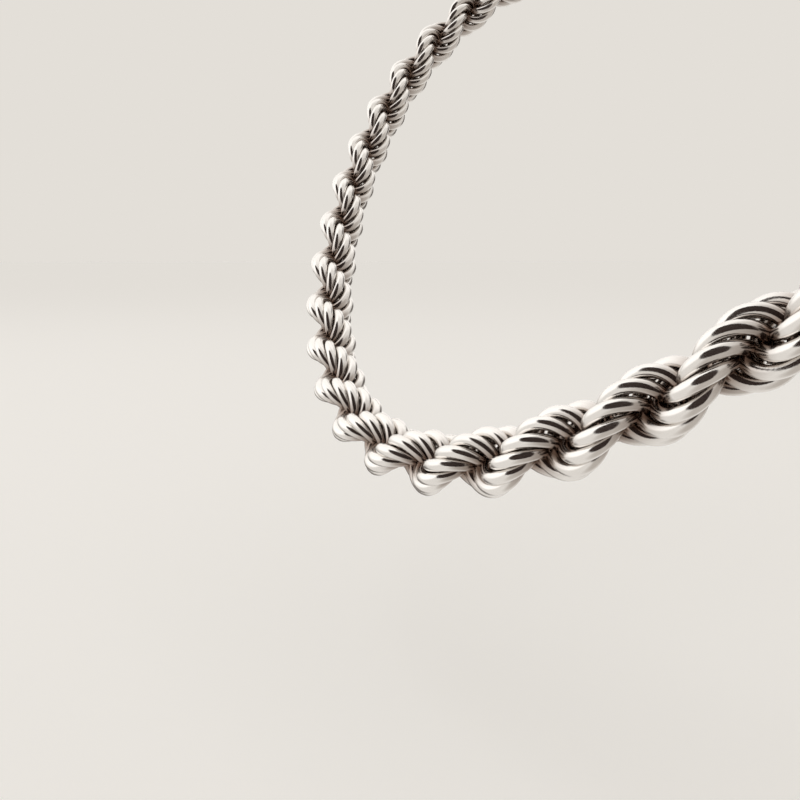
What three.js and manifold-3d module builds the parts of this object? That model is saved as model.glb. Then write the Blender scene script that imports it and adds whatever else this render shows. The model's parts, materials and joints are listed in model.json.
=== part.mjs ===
// Rope-chain necklace with a lobster clasp, draped as it is worn, in millimetres.
// +Z is up, -Y is the wearer's front and X runs along the wearer's shoulders.
// The origin is on the flat of the clasp that lies against the nape of the neck.
import * as THREE from "three";
import { mergeVertices } from "three/addons/utils/BufferGeometryUtils.js";
import Module from "manifold-3d";

const wasm = await Module();
wasm.setup();

// ---- Driving dimensions -------------------------------------------------------------------

// The rope: two strands wound round each other, left-handed.
const ROPE_WIDTH = 8.5;
const SECTION_COUNT = 37; // each section is one half turn of the two strands
const SECTION_SIDES = 12;
const NARROW_SHARE = 0.62; // the rope's narrow side over its wide side
const SECTION_GAP = 0.15; // from a section's tip to the hinge point it shares with the next
const SECTION_TIP_RADIUS = 0.3;
const SECTION_TAPER = 1.9; // length of the cone that lets two sections bend

// The centre line of the worn necklace: X = a sin t, Y = -b cos t - b2 cos 2t and
// Z = -c cos t - c2 cos 2t, with t = 0 at the lowest point in front.
const LOOP_HALF_WIDTH = 78.2;
const LOOP_HALF_DEPTH = 47.7;
const LOOP_DEPTH_SKEW = 3.2;
const LOOP_HALF_RISE = 47.2;
const LOOP_RISE_SKEW = 13.35;

// The clasp, drawn with its tail eye at the drawing's origin and its nose towards +X.
const CLASP_THICKNESS = 3.4; // over the cheeks that hold the lever
const CLAW_THICKNESS = 2.2; // of the hook and the spine
const CLASP_EDGE = 0.25; // rounding of its edges
const CLASP_EYE_HOLE = 1.3;
const CLASP_EYE_RADIUS = 2.3;
const CLASP_LENGTH = 13.7; // from the eye's centre to the nose
const CLASP_NOSE_WIRE = 1.6;
const CLASP_SLOT = 2.0; // width of the slot that holds the lever and its spring
const PIVOT_X = 4.9;
const PIVOT_Y = 1.3;
const PIN_RADIUS = 0.45;
const PIN_CLEARANCE = 0.06;
const LEVER_THICKNESS = 1.1;
const SPRING_THICKNESS = 0.4;
const SPRING_RADIUS = 0.95;

// The rings between the clasp and the end caps: the radius of the wire's centre line, and the wire's.
const JUMP_RING = { radius: 2.3, wire: 0.45 };
const CAP_EYE = { radius: 1.8, wire: 0.5 };
const END_RING = { radius: 3.0, wire: 0.55 };
const RING_SLACK = 0.15; // free play between two linked wires
const NOSE_SLACK = 0.4; // free play between the end ring and the clasp's nose
const RING_STEPS = 22;
const WIRE_SIDES = 8;

// The end caps: cups that the rope's ends are soldered into.
const CAP_MOUTH_RADIUS = 4.05;
const CAP_BORE_RADIUS = 3.5;
const CAP_BORE_DEPTH = 2.6;
const CAP_LENGTH = 7.2;
const CAP_TAIL_RADIUS = 1.3;
const CAP_EYE_SINK = 0.3; // how far the eye's wire is sunk into the tail
const LEFT_ROPE_IN_CAP = 1.0; // how far the rope's first tip stands inside its cap
const RIGHT_ROPE_GAP = 0.8; // where the loop is open: the last tip stops short of its cap

// ---- Materials ----------------------------------------------------------------------------

function metal(color, roughness) {
  return new THREE.MeshStandardMaterial({ color, roughness, metalness: 1 });
}

const ropeSilver = metal(0xe9e6e2, 0.12);
const findingSilver = metal(0xe2dfdb, 0.16);
const springSteel = metal(0xb4b4b8, 0.3);

// ---- Solids -------------------------------------------------------------------------------

// A closed geometry as a manifold-3d solid.
function solidFrom(geometry) {
  const bare = geometry.clone();
  bare.deleteAttribute("normal");
  bare.deleteAttribute("uv");
  const merged = mergeVertices(bare, 1e-4);
  return new wasm.Manifold(
    new wasm.Mesh({
      numProp: 3,
      vertProperties: merged.attributes.position.array,
      triVerts: new Uint32Array(merged.index.array),
    }),
  );
}

// A manifold-3d solid as a geometry again.
function geometryFrom(solid) {
  const { vertProperties, triVerts } = solid.getMesh();
  const geometry = new THREE.BufferGeometry();
  geometry.setAttribute("position", new THREE.BufferAttribute(vertProperties, 3));
  geometry.setIndex(new THREE.BufferAttribute(triVerts, 1));
  geometry.computeVertexNormals();
  return geometry;
}

function namedMesh(name, geometry, material) {
  const mesh = new THREE.Mesh(geometry, material);
  mesh.name = name;
  return mesh;
}

// A flat plate of an outline, centred on its own mid-plane, with its edges rounded by `edge`.
function plate(outline, thickness, edge) {
  const geometry = new THREE.ExtrudeGeometry(outline, {
    depth: thickness - 2 * edge,
    bevelEnabled: edge > 0,
    bevelThickness: edge,
    bevelSize: edge,
    bevelOffset: -edge,
    bevelSegments: 1,
    curveSegments: 5,
  });
  return geometry.translate(0, 0, edge - thickness / 2);
}

// A round wire ring in the XY plane.
function wireRing({ radius, wire }) {
  return new THREE.TorusGeometry(radius, wire, WIRE_SIDES, RING_STEPS);
}

// A cylinder along Z, centred on a point of the drawing.
function crossPin(x, y, radius, length) {
  return new THREE.CylinderGeometry(radius, radius, length, 20).rotateX(Math.PI / 2).translate(x, y, 0);
}

// ---- The worn centre line -----------------------------------------------------------------

class WornLoop extends THREE.Curve {
  getPoint(u, target = new THREE.Vector3()) {
    const t = 2 * Math.PI * u - Math.PI;
    return target.set(
      LOOP_HALF_WIDTH * Math.sin(t),
      -LOOP_HALF_DEPTH * Math.cos(t) - LOOP_DEPTH_SKEW * Math.cos(2 * t),
      -LOOP_HALF_RISE * Math.cos(t) - LOOP_RISE_SKEW * Math.cos(2 * t),
    );
  }
}

const loop = new WornLoop();
loop.arcLengthDivisions = 2000;
const loopLength = loop.getLength();

// The point at a distance along the loop, from the nape and round by the wearer's -X side.
function loopPoint(distance) {
  return loop.getPointAt(distance / loopLength);
}

// The square to the plane that the worn loop lies in, on average.
const loopUp = new THREE.Vector3(0, -LOOP_HALF_RISE, LOOP_HALF_DEPTH).normalize();

// ---- Where the findings stand, along X from the clasp's tail eye ---------------------------

// How far apart the centres of two linked wire rings stand when they hang slack.
function linkedDistance(one, other) {
  return one.radius + other.radius - one.wire - other.wire - RING_SLACK;
}

const claspEye = { radius: (CLASP_EYE_HOLE + CLASP_EYE_RADIUS) / 2, wire: 0.5 };
const leftRingX = -linkedDistance(claspEye, JUMP_RING);
const leftEyeX = leftRingX - linkedDistance(JUMP_RING, CAP_EYE);
const noseInnerX = CLASP_LENGTH - CLASP_NOSE_WIRE;
const endRingX = noseInnerX - NOSE_SLACK - END_RING.wire + END_RING.radius;
const rightRingX = endRingX + linkedDistance(END_RING, JUMP_RING);
const rightEyeX = rightRingX + linkedDistance(JUMP_RING, CAP_EYE);
const capEyeToMouth = CAP_EYE.radius + CAP_EYE.wire - CAP_EYE_SINK + CAP_LENGTH;

// The nape's place on the centre line, and the clasp's eye, so that both caps end alike.
const nape = loopPoint(0);
const claspEyeAt = new THREE.Vector3(-(leftEyeX + rightEyeX) / 2, nape.y - 0.6, nape.z);
const mouthReach = rightEyeX - (leftEyeX + rightEyeX) / 2 + capEyeToMouth;
const ropeStart = mouthReach - LEFT_ROPE_IN_CAP;
const ropeEnd = loopLength - mouthReach - RIGHT_ROPE_GAP;
const sectionLength = (ropeEnd - ropeStart) / SECTION_COUNT;

function findingAt(x) {
  return claspEyeAt.clone().add(new THREE.Vector3(x, 0, 0));
}

// ---- Rope sections ------------------------------------------------------------------------

// One half turn of the rope along +Y: a tapered barrel whose round rows are drawn in to two lobes.
function ropeSection(length) {
  const wide = ROPE_WIDTH / 2;
  const from = SECTION_GAP;
  const to = length - SECTION_GAP;
  const rows = 4; // rows of facets between the two tapers
  const profile = [new THREE.Vector2(0, from), new THREE.Vector2(SECTION_TIP_RADIUS, from)];
  for (let row = 0; row <= rows; row += 1) {
    const y = SECTION_TAPER + ((length - 2 * SECTION_TAPER) * row) / rows;
    profile.push(new THREE.Vector2(wide, y));
  }
  profile.push(new THREE.Vector2(SECTION_TIP_RADIUS, to), new THREE.Vector2(0, to));
  const geometry = new THREE.LatheGeometry(profile, SECTION_SIDES);
  const position = geometry.attributes.position;
  for (let i = 0; i < position.count; i += 1) {
    const x = position.getX(i);
    const y = position.getY(i);
    const z = position.getZ(i);
    const turn = Math.atan2(z, x) - (Math.PI * y) / length;
    const lobe = (1 + NARROW_SHARE + (1 - NARROW_SHARE) * Math.cos(2 * turn)) / 2;
    position.setXYZ(i, x * lobe, y, z * lobe);
  }
  return geometry;
}

// A mesh drawn along +Y from the origin, stood between two points with its Z as near `up` as it goes.
function standBetween(mesh, from, to, up) {
  const along = to.clone().sub(from).normalize();
  const out = along.clone().cross(up).normalize();
  const square = out.clone().cross(along);
  mesh.quaternion.setFromRotationMatrix(new THREE.Matrix4().makeBasis(out, along, square));
  mesh.position.copy(from);
  return mesh;
}

function ropeSections() {
  const group = new THREE.Group();
  const geometry = ropeSection(sectionLength);
  for (let k = 0; k < SECTION_COUNT; k += 1) {
    const name = "rope_section_" + String(k + 1).padStart(2, "0");
    const mesh = namedMesh(name, geometry, ropeSilver);
    const from = loopPoint(ropeStart + k * sectionLength);
    const to = loopPoint(ropeStart + (k + 1) * sectionLength);
    group.add(standBetween(mesh, from, to, loopUp));
  }
  return group;
}

// ---- End caps -----------------------------------------------------------------------------

// A cup with a ring eye soldered to its tail, drawn along +Y from the eye's centre to its mouth.
function endCap(eyeTurn) {
  const tail = capEyeToMouth - CAP_LENGTH;
  const bore = capEyeToMouth - CAP_BORE_DEPTH;
  const outline = new THREE.Path()
    .moveTo(0, tail)
    .lineTo(CAP_TAIL_RADIUS * 0.6, tail)
    .quadraticCurveTo(CAP_TAIL_RADIUS, tail, CAP_TAIL_RADIUS, tail + 0.5)
    .quadraticCurveTo(CAP_MOUTH_RADIUS, tail + 1.2, CAP_MOUTH_RADIUS, tail + 4.2)
    .lineTo(CAP_MOUTH_RADIUS, capEyeToMouth)
    .lineTo(CAP_BORE_RADIUS, capEyeToMouth)
    .lineTo(CAP_BORE_RADIUS, bore)
    .lineTo(0, bore);
  const cup = new THREE.LatheGeometry(outline.getPoints(3), 20);
  const eye = wireRing(CAP_EYE).rotateY(eyeTurn);
  return geometryFrom(solidFrom(cup).add(solidFrom(eye)));
}

// The left cap's eye stands across the left jump ring, and the right cap's across the right one.
function endCaps() {
  const group = new THREE.Group();
  const left = namedMesh("end_cap_left", endCap(Math.PI / 2), findingSilver);
  const right = namedMesh("end_cap_right", endCap(0), findingSilver);
  const worldUp = new THREE.Vector3(0, 0, 1);
  group.add(standBetween(left, findingAt(leftEyeX), loopPoint(ropeStart), worldUp));
  group.add(standBetween(right, findingAt(rightEyeX), loopPoint(ropeEnd), worldUp));
  return group;
}

// ---- Wire rings ---------------------------------------------------------------------------

// Both jump rings and the end ring stand square to the ring or eye that they pass through.
function wireRings() {
  const group = new THREE.Group();
  const leftRing = namedMesh("jump_ring_left", wireRing(JUMP_RING), findingSilver);
  leftRing.position.copy(findingAt(leftRingX));
  const endRing = namedMesh("end_ring", wireRing(END_RING), findingSilver);
  endRing.position.copy(findingAt(endRingX));
  const rightRing = namedMesh("jump_ring_right", wireRing(JUMP_RING), findingSilver);
  rightRing.position.copy(findingAt(rightRingX));
  rightRing.rotateX(Math.PI / 2);
  group.add(leftRing, endRing, rightRing);
  return group;
}

// ---- Clasp --------------------------------------------------------------------------------

// The claw: a teardrop body whose hook runs round the nose and ends above the gate.
function clawOutline() {
  const noseOut = CLASP_LENGTH;
  const outline = new THREE.Shape();
  outline.moveTo(1.2, -1.9);
  outline.bezierCurveTo(3.2, -3.4, 5.6, -4.0, 8.2, -4.0);
  outline.bezierCurveTo(11.4, -4.0, noseOut, -2.4, noseOut, 0);
  outline.bezierCurveTo(noseOut, 2.1, 12.4, 3.7, 10.3, 4.0);
  outline.quadraticCurveTo(9.8, 3.9, 9.9, 3.4);
  outline.lineTo(10.2, 2.5);
  outline.bezierCurveTo(11.4, 2.3, noseInnerX, 1.2, noseInnerX, 0);
  outline.bezierCurveTo(noseInnerX, -1.5, 10.6, -2.4, 8.8, -2.4);
  outline.bezierCurveTo(7.6, -2.4, 6.7, -1.8, 6.6, -0.6);
  outline.lineTo(6.4, 1.2);
  outline.quadraticCurveTo(6.2, 3.2, 4.8, 3.3);
  outline.bezierCurveTo(3.4, 3.4, 2.2, 2.8, 1.2, 1.9);
  return outline;
}

// The cheeks: the thick part between the tail and the gate, where the lever is hung.
function cheekOutline() {
  const outline = new THREE.Shape();
  outline.moveTo(1.2, -1.9);
  outline.bezierCurveTo(2.8, -3.1, 4.4, -3.7, 6.2, -3.85);
  outline.quadraticCurveTo(7.3, -3.2, 6.6, -0.6);
  outline.lineTo(6.4, 1.2);
  outline.quadraticCurveTo(6.2, 3.2, 4.8, 3.3);
  outline.bezierCurveTo(3.4, 3.4, 2.2, 2.8, 1.2, 1.9);
  return outline;
}

function eyeOutline() {
  const outline = new THREE.Shape().absarc(0, 0, CLASP_EYE_RADIUS, 0, 2 * Math.PI);
  outline.holes.push(new THREE.Path().absarc(0, 0, CLASP_EYE_HOLE, 0, 2 * Math.PI, true));
  return outline;
}

// The slot is open above and towards the gate, and closed towards the tail and the spine.
function slotOutline() {
  const outline = new THREE.Shape();
  outline.moveTo(3.0, 0.2);
  outline.lineTo(7.4, 0.2);
  outline.lineTo(7.4, 5.0);
  outline.lineTo(3.0, 5.0);
  return outline;
}

function claspBody() {
  const tailPlate = solidFrom(plate(eyeOutline(), CLASP_THICKNESS * 0.5, 0.3));
  const claw = solidFrom(plate(clawOutline(), CLAW_THICKNESS, CLASP_EDGE));
  const cheeks = solidFrom(plate(cheekOutline(), CLASP_THICKNESS, CLASP_EDGE));
  const slot = solidFrom(plate(slotOutline(), CLASP_SLOT, 0));
  const eyeHole = solidFrom(crossPin(0, 0, CLASP_EYE_HOLE, CLASP_THICKNESS * 2));
  const pinHole = solidFrom(crossPin(PIVOT_X, PIVOT_Y, PIN_RADIUS + PIN_CLEARANCE, CLASP_THICKNESS * 2));
  const whole = tailPlate.add(claw).add(cheeks);
  return geometryFrom(whole.subtract(eyeHole).subtract(slot).subtract(pinHole));
}

// The lever: a boss on the pin, a gate that reaches under the hook's tip, and a thumb tab.
function leverOutline() {
  const bossRadius = 0.95;
  const outline = new THREE.Shape();
  outline.moveTo(PIVOT_X - bossRadius, PIVOT_Y);
  outline.absarc(PIVOT_X, PIVOT_Y, bossRadius, Math.PI, 1.75 * Math.PI);
  outline.lineTo(7.6, 1.15);
  outline.quadraticCurveTo(9.4, 1.3, 10.4, 1.6);
  outline.lineTo(9.95, 2.3);
  outline.lineTo(9.55, 3.3);
  outline.quadraticCurveTo(8.0, 3.1, 6.9, 3.3);
  outline.quadraticCurveTo(6.6, 4.6, 5.9, 5.0);
  outline.quadraticCurveTo(5.3, 5.0, 5.4, 4.2);
  outline.quadraticCurveTo(5.2, 3.0, 4.4, 2.5);
  outline.quadraticCurveTo(3.95, 2.0, PIVOT_X - bossRadius, PIVOT_Y);
  outline.holes.push(
    new THREE.Path().absarc(PIVOT_X, PIVOT_Y, PIN_RADIUS + PIN_CLEARANCE, 0, 2 * Math.PI, true),
  );
  return outline;
}

// The torsion spring, closed up to a ring on the pin.
function claspSpring() {
  const inner = PIN_RADIUS + PIN_CLEARANCE;
  const half = SPRING_THICKNESS / 2;
  const profile = [
    new THREE.Vector2(inner, -half),
    new THREE.Vector2(SPRING_RADIUS, -half),
    new THREE.Vector2(SPRING_RADIUS, half),
    new THREE.Vector2(inner, half),
    new THREE.Vector2(inner, -half),
  ];
  const ring = new THREE.LatheGeometry(profile, 20).rotateX(Math.PI / 2);
  return ring.translate(PIVOT_X, PIVOT_Y, 0);
}

// The clasp is drawn flat and stood up, so that its drawing's Y is up and its thickness lies along Y.
function clasp() {
  const group = new THREE.Group();
  const sideGap = (CLASP_SLOT - LEVER_THICKNESS - SPRING_THICKNESS) / 3;
  const leverZ = CLASP_SLOT / 2 - sideGap - LEVER_THICKNESS / 2;
  const springZ = -CLASP_SLOT / 2 + sideGap + SPRING_THICKNESS / 2;
  const pin = crossPin(PIVOT_X, PIVOT_Y, PIN_RADIUS, CLASP_THICKNESS - 0.1);
  const lever = plate(leverOutline(), LEVER_THICKNESS, 0.15).translate(0, 0, leverZ);
  group.add(namedMesh("clasp_body", claspBody(), findingSilver));
  group.add(namedMesh("clasp_pin", pin, findingSilver));
  group.add(namedMesh("clasp_lever", lever, findingSilver));
  group.add(namedMesh("clasp_spring", claspSpring().translate(0, 0, springZ), springSteel));
  group.rotateX(Math.PI / 2);
  group.position.copy(claspEyeAt);
  return group;
}

// ---- The necklace -------------------------------------------------------------------------

// The point of the clasp's neck side that the origin stands on, in the clasp's own drawing.
const NAPE_REST_X = 5.0;
const NAPE_REST_Y = -1.6;

const necklace = new THREE.Group();
necklace.add(clasp(), wireRings(), endCaps(), ropeSections());
necklace.position.set(
  -claspEyeAt.x - NAPE_REST_X,
  -claspEyeAt.y + CLASP_THICKNESS / 2,
  -claspEyeAt.z - NAPE_REST_Y,
);

export default necklace;
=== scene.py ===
"""Looks of the rope-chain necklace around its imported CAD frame: metres, in the CAD frame."""

import json
import math

import bpy
import numpy as np
from mathutils import Matrix, Quaternion, Vector


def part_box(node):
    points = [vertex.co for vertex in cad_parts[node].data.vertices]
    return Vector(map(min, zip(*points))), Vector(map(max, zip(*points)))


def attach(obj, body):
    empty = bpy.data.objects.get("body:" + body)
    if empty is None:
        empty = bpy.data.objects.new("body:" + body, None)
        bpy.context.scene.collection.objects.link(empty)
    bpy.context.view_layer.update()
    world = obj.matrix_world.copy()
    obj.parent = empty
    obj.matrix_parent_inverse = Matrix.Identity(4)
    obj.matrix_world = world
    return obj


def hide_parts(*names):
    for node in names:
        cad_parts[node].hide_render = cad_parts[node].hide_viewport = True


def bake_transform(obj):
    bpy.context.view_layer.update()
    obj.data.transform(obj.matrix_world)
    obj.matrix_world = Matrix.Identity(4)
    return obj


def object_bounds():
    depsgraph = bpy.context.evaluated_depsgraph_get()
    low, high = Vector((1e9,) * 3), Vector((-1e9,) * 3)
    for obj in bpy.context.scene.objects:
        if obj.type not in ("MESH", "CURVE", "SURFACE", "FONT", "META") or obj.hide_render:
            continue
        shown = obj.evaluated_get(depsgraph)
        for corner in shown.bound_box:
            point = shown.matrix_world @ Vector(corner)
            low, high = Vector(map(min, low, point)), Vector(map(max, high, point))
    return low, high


MM = 0.001

# ---- Rope: closed wire rings set one behind another, each turned a little further round the rope's axis ----
ROPE_WIDTH = 8.6 * MM
ROPE_WIRE = 1.6 * MM
RINGS_PER_SECTION = 6  # a section is half a turn of the two strands
TWIST_PHASE = 0.097  # in sections, from a section's end to where the strands cross
END_TAPER = 0.25  # how much smaller the first and last rings are, to fit their caps
END_TAPER_LENGTH = 5.0 * MM
END_MARGINS = (0.17, 0.05)  # in sections, left bare at each tip, so that both ends stand in their caps' bores
RING_PLAY = math.radians(1.3)  # how far a ring strays from its even turn
PLAY_STEP = 2.4  # in radians, from one ring's stray to the next
RECESS_RADIUS = 0.42 * ROPE_WIDTH  # inside this distance from the rope's axis the wire's colour is darkened, partly as tarnished silver and partly as painted shade
RING_STEPS = 44
RING_SIDES = 14

# ---- Findings ----
CAP_MOUTH = 4.05 * MM
CAP_BORE = 3.5 * MM
CAP_BORE_DEPTH = 2.6 * MM
CAP_LENGTH = 7.2 * MM
CAP_TAIL = 1.3 * MM
CAP_SHOULDER = (0.5 * MM, 3.7 * MM)  # where the rounded shoulder starts over the tail, and its height
CAP_EYE = (1.8 * MM, 0.5 * MM)
CAP_EYE_SINK = 0.3 * MM
JUMP_RING = (2.3 * MM, 0.45 * MM)
END_RING = (3.0 * MM, 0.55 * MM)
SOLDER_SWELL = 0.07  # how much thicker a ring's wire is at its soldered joint
SOLDER_SPREAD = 0.16  # in radians round the ring
CLASP_EYE = (1.8 * MM, 0.62 * MM)
CLASP_EYE_INSET = 2.3 * MM  # from the cast body's end to the middle of its eye
CLASP_THICKNESS = 3.4 * MM
CLAW_THICKNESS = 2.3 * MM
CHEEK_THICKNESS = 0.7 * MM
PIVOT = (4.9 * MM, 1.3 * MM)
PIN_RADIUS = 0.45 * MM
SPRING_RADIUS = 0.72 * MM
SPRING_WIRE = 0.09 * MM
SPRING_TURNS = 2

# ---- Camera ----
CAMERA_AT = Vector((103.9, -153.2, -66.75)) * MM
CAMERA_YAW = math.radians(59.7)  # from +Y towards -X
CAMERA_PITCH = math.radians(-8.9)
CAMERA_LENS = 40.5
TWIST_SEEN_FROM = CAMERA_AT  # the rope's turns are reckoned from the side of it that faces this point

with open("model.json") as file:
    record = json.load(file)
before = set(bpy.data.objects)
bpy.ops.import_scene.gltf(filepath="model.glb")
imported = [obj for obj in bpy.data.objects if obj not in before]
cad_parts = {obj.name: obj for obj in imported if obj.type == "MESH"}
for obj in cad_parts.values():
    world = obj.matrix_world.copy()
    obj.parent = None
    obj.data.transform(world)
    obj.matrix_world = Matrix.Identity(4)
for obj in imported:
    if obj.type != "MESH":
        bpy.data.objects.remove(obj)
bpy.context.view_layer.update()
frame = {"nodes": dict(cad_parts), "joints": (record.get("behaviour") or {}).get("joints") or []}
node_names = sorted(frame["nodes"])
section_names = [name for name in node_names if name.startswith("rope_section")]
SECTIONS = len(section_names)


def unit(v):
    return v / np.linalg.norm(v)


def node_points(name):
    return np.array([v.co for v in frame["nodes"][name].data.vertices], float)


# ---- The rope's centre line, through the hinges between its sections ----


def farthest_points(points, start):
    """The middle of the few points that are farthest from start."""
    order = np.linalg.norm(points - start, axis=1).argsort()
    return points[order[-8:]].mean(0)


def rope_knots():
    """The rope's first tip, its hinges in order, and its last tip."""
    hinges = []
    for k in range(2, SECTIONS + 1):
        joint = next(j for j in frame["joints"] if j["child"] == "rope_%02d" % k)
        hinges.append(np.array(joint["pos_m"], float))
    first = farthest_points(node_points(section_names[0]), hinges[0])
    last = farthest_points(node_points(section_names[-1]), hinges[-1])
    return np.array([first, *hinges, last])


knots = rope_knots()
extended = np.array([2 * knots[0] - knots[1], *knots, 2 * knots[-1] - knots[-2]])
section_length = float(np.mean(np.linalg.norm(np.diff(knots, axis=0), axis=1)))


def rope_point(t):
    """The centre line t sections from its start, as a Catmull-Rom curve through the knots."""
    k = min(max(math.floor(t), 0), SECTIONS - 1)
    u = t - k
    p0, p1, p2, p3 = extended[k : k + 4]
    slope = (p2 - p0) * u
    curve = (2 * p0 - 5 * p1 + 4 * p2 - p3) * u * u
    cubic = (3 * p1 - p0 - 3 * p2 + p3) * u**3
    return 0.5 * (2 * p1 + slope + curve + cubic)


def rope_axes(t):
    """The centre line at t, its direction, and the direction square to it that faces TWIST_SEEN_FROM."""
    at = rope_point(t)
    along = unit(rope_point(t + 0.05) - rope_point(t - 0.05))
    sight = np.array(TWIST_SEEN_FROM) - at
    facing = unit(sight - along * (sight @ along))
    return at, along, facing


# ---- Meshes ----


def wire_ring(centre, normal, start, major, minor, steps, sides, swell=0.0):
    """A wire ring whose soldered joint is at start. Returns its points and its faces."""
    across = np.cross(normal, start)
    around = 2 * np.pi * np.arange(steps) / steps
    about = 2 * np.pi * np.arange(sides) / sides
    spokes = np.outer(np.cos(around), start) + np.outer(np.sin(around), across)
    off_joint = np.minimum(around, 2 * np.pi - around)
    radii = minor * (1 + swell * np.exp(-((off_joint / SOLDER_SPREAD) ** 2)))
    out = major + np.outer(radii, np.cos(about))
    up = np.outer(radii, np.sin(about))
    points = centre + out[:, :, None] * spokes[:, None, :] + up[:, :, None] * normal
    return points.reshape(-1, 3), grid_faces(steps, sides)


def grid_faces(rows, columns, closed=True):
    """Faces of a grid of points that closes on itself along its columns, and along its rows too if closed."""
    i, j = np.meshgrid(np.arange(rows if closed else rows - 1), np.arange(columns), indexing="ij")
    i2, j2 = (i + 1) % rows, (j + 1) % columns
    corners = [i * columns + j, i2 * columns + j, i2 * columns + j2, i * columns + j2]
    return np.stack(corners, axis=-1).reshape(-1, 4)


def lathe(base, axis, profile, sides=72):
    """A turned part whose profile is (radius, height) pairs along axis, closed at both ends on the axis."""
    side = unit(np.cross(axis, (0.3, 0.5, 0.8)))
    other = np.cross(axis, side)
    about = 2 * np.pi * np.arange(sides) / sides
    spokes = np.outer(np.cos(about), side) + np.outer(np.sin(about), other)
    rows = [base + axis * height + spokes * radius for radius, height in profile]
    return np.concatenate(rows), grid_faces(len(profile), sides, closed=False)


def add_mesh(name, parts, material):
    """One object from several (points, faces), smooth, with its material."""
    points = np.concatenate([p for p, _ in parts])
    starts = np.cumsum([0] + [len(p) for p, _ in parts[:-1]])
    faces = np.concatenate([f + start for (_, f), start in zip(parts, starts)])
    mesh = bpy.data.meshes.new(name)
    mesh.from_pydata(points.tolist(), [], faces.tolist())
    mesh.update()
    return add_object(name, mesh, material)


def add_object(name, mesh, material):
    mesh.polygons.foreach_set("use_smooth", [True] * len(mesh.polygons))
    mesh.materials.clear()
    mesh.materials.append(material)
    obj = bpy.data.objects.new(name, mesh)
    bpy.context.scene.collection.objects.link(obj)
    return obj


# ---- Materials ----


def metal(name, bright, deep, roughness, scratch):
    """Polished metal: cloudy roughness, fine polishing lines, and a darker colour where "recess" is high,
    partly tarnished silver and partly painted shade.
    """
    material = bpy.data.materials.new(name)
    material.use_nodes = True
    tree = material.node_tree
    shader = tree.nodes["Principled BSDF"]
    shader.inputs["Metallic"].default_value = 1.0

    place = tree.nodes.new("ShaderNodeTexCoord")
    cloud = tree.nodes.new("ShaderNodeTexNoise")
    cloud.inputs["Scale"].default_value = 260.0
    cloud.inputs["Detail"].default_value = 4.0
    tree.links.new(place.outputs["Object"], cloud.inputs["Vector"])

    # Painted shade and tarnished silver: the colour runs to the dark second colour where "recess" is high,
    # inside the rope where the rings shade each other; the cloud noise adds a little random darkening.
    recess = tree.nodes.new("ShaderNodeAttribute")
    recess.attribute_name = "recess"
    tarnish_and_shade = tree.nodes.new("ShaderNodeMath")
    tarnish_and_shade.operation = "MULTIPLY_ADD"
    tarnish_and_shade.inputs[1].default_value = 0.12
    tree.links.new(cloud.outputs["Fac"], tarnish_and_shade.inputs[0])
    tree.links.new(recess.outputs["Fac"], tarnish_and_shade.inputs[2])
    colour = tree.nodes.new("ShaderNodeMix")
    colour.data_type = "RGBA"
    colour.inputs["A"].default_value = (*bright, 1)
    colour.inputs["B"].default_value = (*deep, 1)
    tree.links.new(tarnish_and_shade.outputs[0], colour.inputs["Factor"])
    tree.links.new(colour.outputs["Result"], shader.inputs["Base Color"])

    spread = tree.nodes.new("ShaderNodeMapRange")
    spread.inputs["To Min"].default_value = roughness * 0.7
    spread.inputs["To Max"].default_value = roughness * 1.5
    tree.links.new(cloud.outputs["Fac"], spread.inputs["Value"])
    tree.links.new(spread.outputs["Result"], shader.inputs["Roughness"])

    stretch = tree.nodes.new("ShaderNodeMapping")
    stretch.inputs["Scale"].default_value = (9000.0, 2200.0, 5200.0)
    lines = tree.nodes.new("ShaderNodeTexNoise")
    lines.inputs["Scale"].default_value = 1.0
    lines.inputs["Detail"].default_value = 3.0
    bump = tree.nodes.new("ShaderNodeBump")
    bump.inputs["Strength"].default_value = scratch
    bump.inputs["Distance"].default_value = 0.01 * MM
    tree.links.new(place.outputs["Object"], stretch.inputs["Vector"])
    tree.links.new(stretch.outputs["Vector"], lines.inputs["Vector"])
    tree.links.new(lines.outputs["Fac"], bump.inputs["Height"])
    tree.links.new(bump.outputs["Normal"], shader.inputs["Normal"])
    return material


# The second colour is the dark one: mixed in a little by the cloud noise, and fully inside the rope where
# "recess" is high, as tarnished silver and painted shade.
rope_silver = metal("rope_silver", (0.965, 0.945, 0.92), (0.34, 0.27, 0.23), 0.14, 0.05)
finding_silver = metal("finding_silver", (0.955, 0.94, 0.92), (0.42, 0.36, 0.32), 0.10, 0.06)
spring_steel = metal("spring_steel", (0.62, 0.61, 0.60), (0.25, 0.23, 0.22), 0.24, 0.3)


# ---- The rope's rings ----


def end_scale(t):
    """How large a ring is for its place: the first and last ones are drawn in towards their caps."""
    from_end = min(t, SECTIONS - t) * section_length
    return 1 - END_TAPER * math.exp(-((from_end / END_TAPER_LENGTH) ** 2))


def rope_ring(t, index):
    """The ring at t sections: its plane holds the rope's axis and turns left-handed along it."""
    at, along, facing = rope_axes(t)
    angle = math.pi / 2 - math.pi * (t - TWIST_PHASE) + RING_PLAY * math.sin(PLAY_STEP * index)
    radial = math.cos(angle) * facing + math.sin(angle) * np.cross(along, facing)
    normal = np.cross(along, radial)
    major = (ROPE_WIDTH - ROPE_WIRE) / 2 * end_scale(t)
    points, faces = wire_ring(at, normal, along, major, ROPE_WIRE / 2, RING_STEPS, RING_SIDES)
    # "recess": 1 near the rope's axis, where the colour is darkened as tarnished silver and painted shade.
    flat = points - at - np.outer((points - at) @ along, along)
    depth = 1 - np.linalg.norm(flat, axis=1) / RECESS_RADIUS
    return points, faces, np.clip(1.5 * depth, 0, 1)


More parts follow.
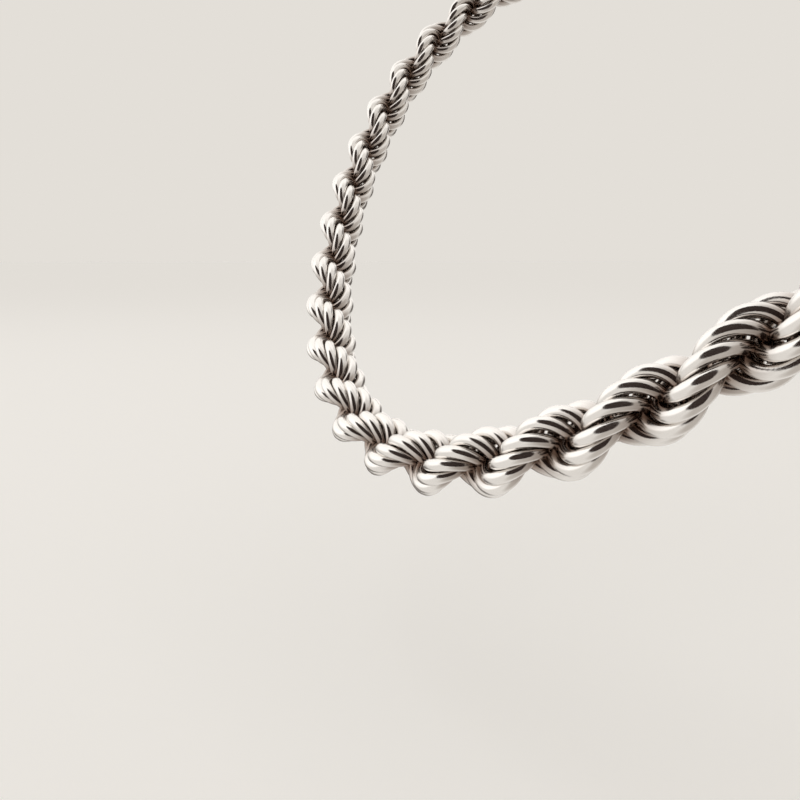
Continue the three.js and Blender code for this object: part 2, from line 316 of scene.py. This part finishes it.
def rope_links():
    """The rope's rings in one piece for each hinge, which bends from one section to the next."""
    groups = {k: [] for k in range(1, SECTIONS)}
    for i in range(SECTIONS * RINGS_PER_SECTION):
        t = (i + 0.5) / RINGS_PER_SECTION
        if END_MARGINS[0] < t < SECTIONS - END_MARGINS[1]:
            groups[min(max(round(t), 1), SECTIONS - 1)].append(rope_ring(t, i))
    for k, rings in groups.items():
        links = add_mesh("rope_links_%02d" % k, [ring[:2] for ring in rings], rope_silver)
        # The "recess" attribute darkens the rings' colour near the rope's axis: partly tarnished silver,
        # partly painted shade.
        recess = links.data.attributes.new("recess", "FLOAT", "POINT")
        recess.data.foreach_set("value", np.concatenate([ring[2] for ring in rings]).astype(np.float32))
        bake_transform(links)
        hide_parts(section_names[k])
        if k == 1:
            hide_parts(section_names[0])


# ---- End caps and wire rings ----


def arc(centre, radius, start, end, steps):
    """Points of a round stretch of a profile, with its angles in degrees."""
    turns = np.radians(np.linspace(start, end, steps))
    return [(centre[0] + radius * math.cos(a), centre[1] + radius * math.sin(a)) for a in turns]


def cap_profile():
    """The cup from its closed tail to the mouth and down its bore, as (radius, height over the tail)."""
    lip = (CAP_MOUTH - CAP_BORE) / 2
    start, rise = CAP_SHOULDER
    shoulder = [
        (CAP_TAIL + (CAP_MOUTH - CAP_TAIL) * math.sin(a), start + rise * (1 - math.cos(a)))
        for a in np.linspace(0, math.pi / 2, 14)
    ]
    bead = arc((CAP_MOUTH - 0.12 * MM, CAP_LENGTH - 1.5 * MM), 0.3 * MM, -66, 66, 9)
    mouth = arc((CAP_MOUTH - lip, CAP_LENGTH - lip), lip, 0, 180, 11)
    floor = CAP_LENGTH - CAP_BORE_DEPTH
    tail = [(0, 0), (CAP_TAIL * 0.7, 0), (CAP_TAIL, 0.25 * MM)]
    bore = [(CAP_BORE, floor + 0.2 * MM), (CAP_BORE - 0.2 * MM, floor), (0, floor)]
    return [*tail, *shoulder, *bead, *mouth, *bore]


def end_cap(name, body, rope_end, eye_normal):
    """A turned cup with a beaded mouth, and the wire eye soldered to its tail."""
    points = node_points(name)
    back = unit(points.mean(0) - rope_end)
    eye_out = ((points - rope_end) @ back).max()
    eye = rope_end + back * (eye_out - sum(CAP_EYE))
    tail = eye - back * (sum(CAP_EYE) - CAP_EYE_SINK)
    normal = unit(eye_normal - back * (eye_normal @ back))
    cup = lathe(tail, -back, cap_profile())
    ring = wire_ring(eye, normal, -back, *CAP_EYE, 48, 18)
    cap = add_mesh(name + "_turned", [cup, ring], finding_silver)
    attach(cap, body)
    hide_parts(name)


def linked_ring(name, body, size, normal, joint_side):
    """A closed ring in the place of its CAD node, thicker at its soldered joint."""
    low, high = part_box(name)
    centre = np.array((low + high) / 2)
    ring = wire_ring(centre, np.array(normal), np.array(joint_side), *size, 64, 20, SOLDER_SWELL)
    piece = add_mesh(name + "_wire", [ring], finding_silver)
    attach(piece, body)
    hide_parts(name)


# ---- Clasp, drawn flat with its eye at the origin and its nose towards +X, as in the CAD source ----

clasp_low, clasp_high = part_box("clasp_body")
clasp_eye = (clasp_low + clasp_high) / 2
clasp_eye.x = clasp_low.x + CLASP_EYE_INSET
STAND_UP = Matrix(((1, 0, 0), (0, 0, -1), (0, 1, 0))).to_4x4()


def bezier_loop(curve, corners):
    """A closed outline in mm: each corner is (x, y) or (handle before, point, handle after)."""
    spline = curve.splines.new("BEZIER")
    spline.bezier_points.add(len(corners) - 1)
    spline.use_cyclic_u = True
    for point, corner in zip(spline.bezier_points, corners):
        before, at, after = corner if isinstance(corner[0], tuple) else (corner, corner, corner)
        point.co = Vector((*at, 0)) * MM
        point.handle_left = Vector((*before, 0)) * MM
        point.handle_right = Vector((*after, 0)) * MM


def rounded_plate(loops, thickness, edge, offset):
    """The mesh of a flat plate with round edges, stood up in its place on the clasp."""
    curve = bpy.data.curves.new("outline", "CURVE")
    curve.dimensions = "2D"
    curve.fill_mode = "BOTH"
    curve.resolution_u = 14
    curve.extrude = thickness / 2 - edge
    curve.bevel_depth = edge
    curve.bevel_resolution = 5
    curve.offset = -edge
    for corners in loops:
        bezier_loop(curve, corners)
    drawn = bpy.data.objects.new("outline", curve)
    bpy.context.scene.collection.objects.link(drawn)
    mesh = bpy.data.meshes.new_from_object(drawn.evaluated_get(bpy.context.evaluated_depsgraph_get()))
    bpy.data.objects.remove(drawn)
    mesh.transform(Matrix.Translation(clasp_eye) @ STAND_UP @ Matrix.Translation((0, 0, offset)))
    return mesh


def plate_piece(name, loops, thickness, edge, offset, body):
    mesh = rounded_plate(loops, thickness, edge, offset)
    piece = add_object(name, mesh, finding_silver)
    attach(piece, body)
    return piece


SPINE_AND_HOOK = [
    ((1.2, -1.0), (1.2, -1.9), (3.2, -3.4)),
    ((5.6, -4.0), (8.2, -4.0), (11.4, -4.0)),
    ((13.7, -2.4), (13.7, 0.0), (13.7, 2.1)),
    ((12.4, 3.7), (10.3, 4.0), (9.8, 4.0)),
    ((9.8, 2.9), (10.2, 2.5), (11.4, 2.3)),
    ((12.1, 1.2), (12.1, 0.0), (12.1, -1.5)),
    ((10.6, -2.4), (8.8, -2.4), (7.6, -2.4)),
    ((6.9, -1.4), (6.6, -0.6), (6.5, -0.1)),
    ((5.6, 0.1), (5.0, 0.1), (3.6, 0.1)),
    ((3.0, 1.9), (1.2, 1.7), (1.2, 0.8)),
]
CHEEK = [
    ((1.2, 0.6), (1.2, -1.9), (2.8, -3.1)),
    ((4.4, -3.7), (6.2, -3.85), (7.3, -3.2)),
    ((6.9, -1.8), (6.6, -0.6), (6.5, 0.6)),
    ((6.4, 3.2), (4.8, 3.3), (3.4, 3.4)),
    ((2.2, 2.8), (1.2, 1.9), (1.2, 1.2)),
]
LEVER = [
    ((3.95, 0.9), (3.95, 1.3), (3.95, 2.0)),
    ((4.1, 2.3), (4.4, 2.5), (5.2, 3.0)),
    ((5.3, 3.6), (5.4, 4.2), (5.3, 5.0)),
    ((5.6, 5.0), (5.9, 5.0), (6.6, 4.6)),
    ((6.7, 3.7), (6.9, 3.3), (8.0, 3.1)),
    ((8.9, 3.2), (9.55, 3.3), (9.7, 3.0)),
    ((9.95, 2.5), (10.3, 1.7), (9.4, 1.3)),
    ((8.4, 1.2), (7.6, 1.15), (6.6, 1.0)),
    ((5.9, 0.7), (5.5, 0.5), (4.7, 0.2)),
]


def clasp_point(x, y, across):
    """A point of the clasp's drawing in the row frame."""
    return np.array(clasp_eye + Vector((x, -across, y)))


def clasp():
    body = plate_piece("clasp_claw", [SPINE_AND_HOOK], CLAW_THICKNESS, 0.62 * MM, 0, "clasp")
    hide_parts("clasp_body")
    cheek_at = (CLASP_THICKNESS - CHEEK_THICKNESS) / 2
    for side, offset in (("front", cheek_at), ("back", -cheek_at)):
        plate_piece("clasp_cheek_" + side, [CHEEK], CHEEK_THICKNESS, 0.24 * MM, offset, "clasp")
    across = np.array((0.0, -1.0, 0.0))
    eye = wire_ring(np.array(clasp_eye), across, np.array((1.0, 0.0, 0.0)), *CLASP_EYE, 56, 20)
    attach(add_mesh("clasp_eye", [eye], finding_silver), "clasp")

    lever_low, lever_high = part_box("clasp_lever")
    lever_at = clasp_eye.y - (lever_low.y + lever_high.y) / 2
    lever_thickness = lever_high.y - lever_low.y
    lever = plate_piece("clasp_thumb_lever", [LEVER], lever_thickness, 0.3 * MM, lever_at, "clasp_lever")
    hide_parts("clasp_lever")

    half = CLASP_THICKNESS / 2
    turns = np.linspace(0, math.pi / 2, 7)
    dome = [(1.25 * PIN_RADIUS * math.sin(a), 0.22 * MM * math.cos(a)) for a in turns]
    lower = [(radius, -half - height) for radius, height in dome]
    upper = [(radius, half + height) for radius, height in reversed(dome)]
    pin = lathe(clasp_point(*PIVOT, 0), across, [*lower, (PIN_RADIUS, -half), (PIN_RADIUS, half), *upper], 32)
    pin_piece = add_mesh("clasp_rivet", [pin], finding_silver)
    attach(pin_piece, "clasp")
    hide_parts("clasp_pin")

    spring_low, spring_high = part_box("clasp_spring")
    spring_at = clasp_eye.y - (spring_low.y + spring_high.y) / 2
    spring_piece = add_mesh("clasp_spring_coil", [coil(spring_at)], spring_steel)
    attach(spring_piece, "clasp")
    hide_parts("clasp_spring")


def coil(across):
    """The torsion spring's turns round the pin, each a wire's thickness further along it."""
    steps, sides = 40 * SPRING_TURNS, 10
    rows = []
    for step in range(steps + 1):
        a = 2 * math.pi * SPRING_TURNS * step / steps
        spoke = np.array((math.cos(a), 0.0, math.sin(a)))
        rise = SPRING_WIRE * 2.1 * (step / steps - 0.5) * SPRING_TURNS
        middle = clasp_point(*PIVOT, across + rise) + spoke * SPRING_RADIUS
        about = 2 * np.pi * np.arange(sides) / sides
        width = np.outer(np.cos(about), spoke) + np.outer(np.sin(about), (0.0, 1.0, 0.0))
        rows.append(middle + SPRING_WIRE * width)
    return np.concatenate(rows), grid_faces(steps + 1, sides, closed=False)


rope_links()
end_cap("end_cap_left", "rope_01", knots[0], np.array((0.0, 0.0, 1.0)))
end_cap("end_cap_right", "end_cap_right", knots[-1], np.array((0.0, 1.0, 0.0)))
linked_ring("jump_ring_left", "jump_ring_left", JUMP_RING, (0.0, 0.0, 1.0), (0.0, -1.0, 0.0))
linked_ring("end_ring", "end_ring", END_RING, (0.0, 0.0, 1.0), (0.0, -1.0, 0.0))
linked_ring("jump_ring_right", "jump_ring_right", JUMP_RING, (0.0, 1.0, 0.0), (0.0, 0.0, 1.0))
clasp()


# ---- Studio: a plain floor under a plain sky; the metal reflects soft glows and one black flag ----

SKY = (0.77, 0.737, 0.688)
FLOOR = (0.99, 0.99, 0.99)
FLOOR_SIZE = 40.0
FLOOR_DROP = 30 * MM  # a neck holds the necklace up, and its front can swing this far down
BOUNCE = (0.78, 0.75, 0.71)
# Azimuth from +X and elevation, in degrees; the radii where a glow is full and where it ends; its colour.
GLOWS = [
    (10, -25, 38, 75, (0.50, 0.46, 0.42)),
    (-135, 35, 25, 55, (1.2, 1.17, 1.13)),
    (145, 45, 25, 60, (1.1, 1.07, 1.03)),
    (95, 8, 8, 34, (0.13, 0.115, 0.105)),
    (175, -30, 6, 30, (0.2, 0.18, 0.165)),
]
FLAG_AT = (-54, 20)  # azimuth and elevation of the flag's middle
FLAG_SIZE = (3.0, 1.4)
FLAG_ROLL = math.radians(42)
FLAG_DISTANCE = 1.0
FLAG_BLACK = (0.03, 0.02, 0.017)
LAMP_AT = (-0.3, -0.5, 0.7)
LAMP_SIZE = 0.8
LAMP_POWER = 0.8


def stage_plate(name, outline, colour, shader_name):
    mesh = bpy.data.meshes.new(name)
    mesh.from_pydata([(x, y, 0) for x, y in outline], [], [tuple(range(len(outline)))])
    material = bpy.data.materials.new(name)
    material.use_nodes = True
    tree = material.node_tree
    tree.nodes.clear()
    shader = tree.nodes.new(shader_name)
    shader.inputs["Color"].default_value = (*colour, 1)
    output = tree.nodes.new("ShaderNodeOutputMaterial")
    tree.links.new(shader.outputs[0], output.inputs["Surface"])
    mesh.materials.append(material)
    plane = bpy.data.objects.new(name, mesh)
    bpy.context.scene.collection.objects.link(plane)
    return plane


def stage_floor(height):
    x = FLOOR_SIZE / 2
    floor = stage_plate("floor", [(-x, -x), (x, -x), (x, x), (-x, x)], FLOOR, "ShaderNodeBsdfDiffuse")
    floor.location.z = height
    floor.visible_glossy = False


def stage_flag():
    """A black flag, pointed at both ends, that shows only as the dark streaks in the metal."""
    leaf = [(FLAG_SIZE[0] / 2 * x, FLAG_SIZE[1] / 2 * y * abs(y)) for x, y in arc((0, 0), 1, 0, 355, 72)]
    flag = stage_plate("flag", leaf, FLAG_BLACK, "ShaderNodeEmission")
    flag.location = middle + FLAG_DISTANCE * towards(*FLAG_AT)
    turn_to(flag, middle, "Z")
    flag.rotation_quaternion = flag.rotation_quaternion @ Quaternion((0, 0, 1), FLAG_ROLL)
    flag.visible_camera = False
    flag.visible_diffuse = False
    flag.visible_shadow = False


def towards(azimuth, elevation):
    a, e = math.radians(azimuth), math.radians(elevation)
    return Vector((math.cos(a) * math.cos(e), math.sin(a) * math.cos(e), math.sin(e)))


def turn_to(obj, aim, axis):
    obj.rotation_mode = "QUATERNION"
    obj.rotation_quaternion = (Vector(aim) - obj.location).to_track_quat(axis, "Y")


def studio_world():
    world = bpy.data.worlds.new("studio")
    world.use_nodes = True
    tree = world.node_tree
    place = tree.nodes.new("ShaderNodeTexCoord")
    layers = tree.nodes.new("ShaderNodeRGB").outputs["Color"]
    layers.default_value = (*BOUNCE, 1)
    for azimuth, elevation, full, faded, shade in GLOWS:
        closeness = tree.nodes.new("ShaderNodeVectorMath")
        closeness.operation = "DOT_PRODUCT"
        closeness.inputs[1].default_value = towards(azimuth, elevation)
        edge = tree.nodes.new("ShaderNodeMapRange")
        edge.interpolation_type = "SMOOTHSTEP"
        edge.inputs["From Min"].default_value = math.cos(math.radians(faded))
        edge.inputs["From Max"].default_value = math.cos(math.radians(full))
        over = tree.nodes.new("ShaderNodeMix")
        over.data_type = "RGBA"
        over.inputs["B"].default_value = (*shade, 1)
        tree.links.new(place.outputs["Generated"], closeness.inputs[0])
        tree.links.new(closeness.outputs["Value"], edge.inputs["Value"])
        tree.links.new(edge.outputs["Result"], over.inputs["Factor"])
        tree.links.new(layers, over.inputs["A"])
        layers = over.outputs["Result"]
    ray = tree.nodes.new("ShaderNodeLightPath")
    pick = tree.nodes.new("ShaderNodeMix")
    pick.data_type = "RGBA"
    pick.inputs["A"].default_value = (*SKY, 1)
    tree.links.new(ray.outputs["Is Glossy Ray"], pick.inputs["Factor"])
    tree.links.new(layers, pick.inputs["B"])
    tree.links.new(pick.outputs["Result"], tree.nodes["Background"].inputs["Color"])
    bpy.context.scene.world = world


def soft_lamp():
    """The one lamp, which lays a soft shadow on the floor."""
    data = bpy.data.lights.new("soft_lamp", "AREA")
    data.shape = "DISK"
    data.size = LAMP_SIZE
    data.energy = LAMP_POWER
    lamp = bpy.data.objects.new("soft_lamp", data)
    bpy.context.scene.collection.objects.link(lamp)
    lamp.location = LAMP_AT
    lamp.visible_glossy = False
    turn_to(lamp, middle, "-Z")


low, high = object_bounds()
middle = (low + high) / 2
stage_floor(low.z - FLOOR_DROP)
stage_flag()
studio_world()
soft_lamp()

# ---- Camera ----

camera = bpy.data.objects.new("camera", bpy.data.cameras.new("camera"))
bpy.context.scene.collection.objects.link(camera)
camera.data.lens = CAMERA_LENS
camera.data.sensor_width = 36
camera.data.clip_start = 0.005
camera.location = CAMERA_AT
ahead = Vector((-math.sin(CAMERA_YAW), math.cos(CAMERA_YAW), math.tan(CAMERA_PITCH)))
turn_to(camera, CAMERA_AT + ahead, "-Z")
bpy.context.scene.camera = camera
bpy.context.scene.view_settings.view_transform = "Standard"
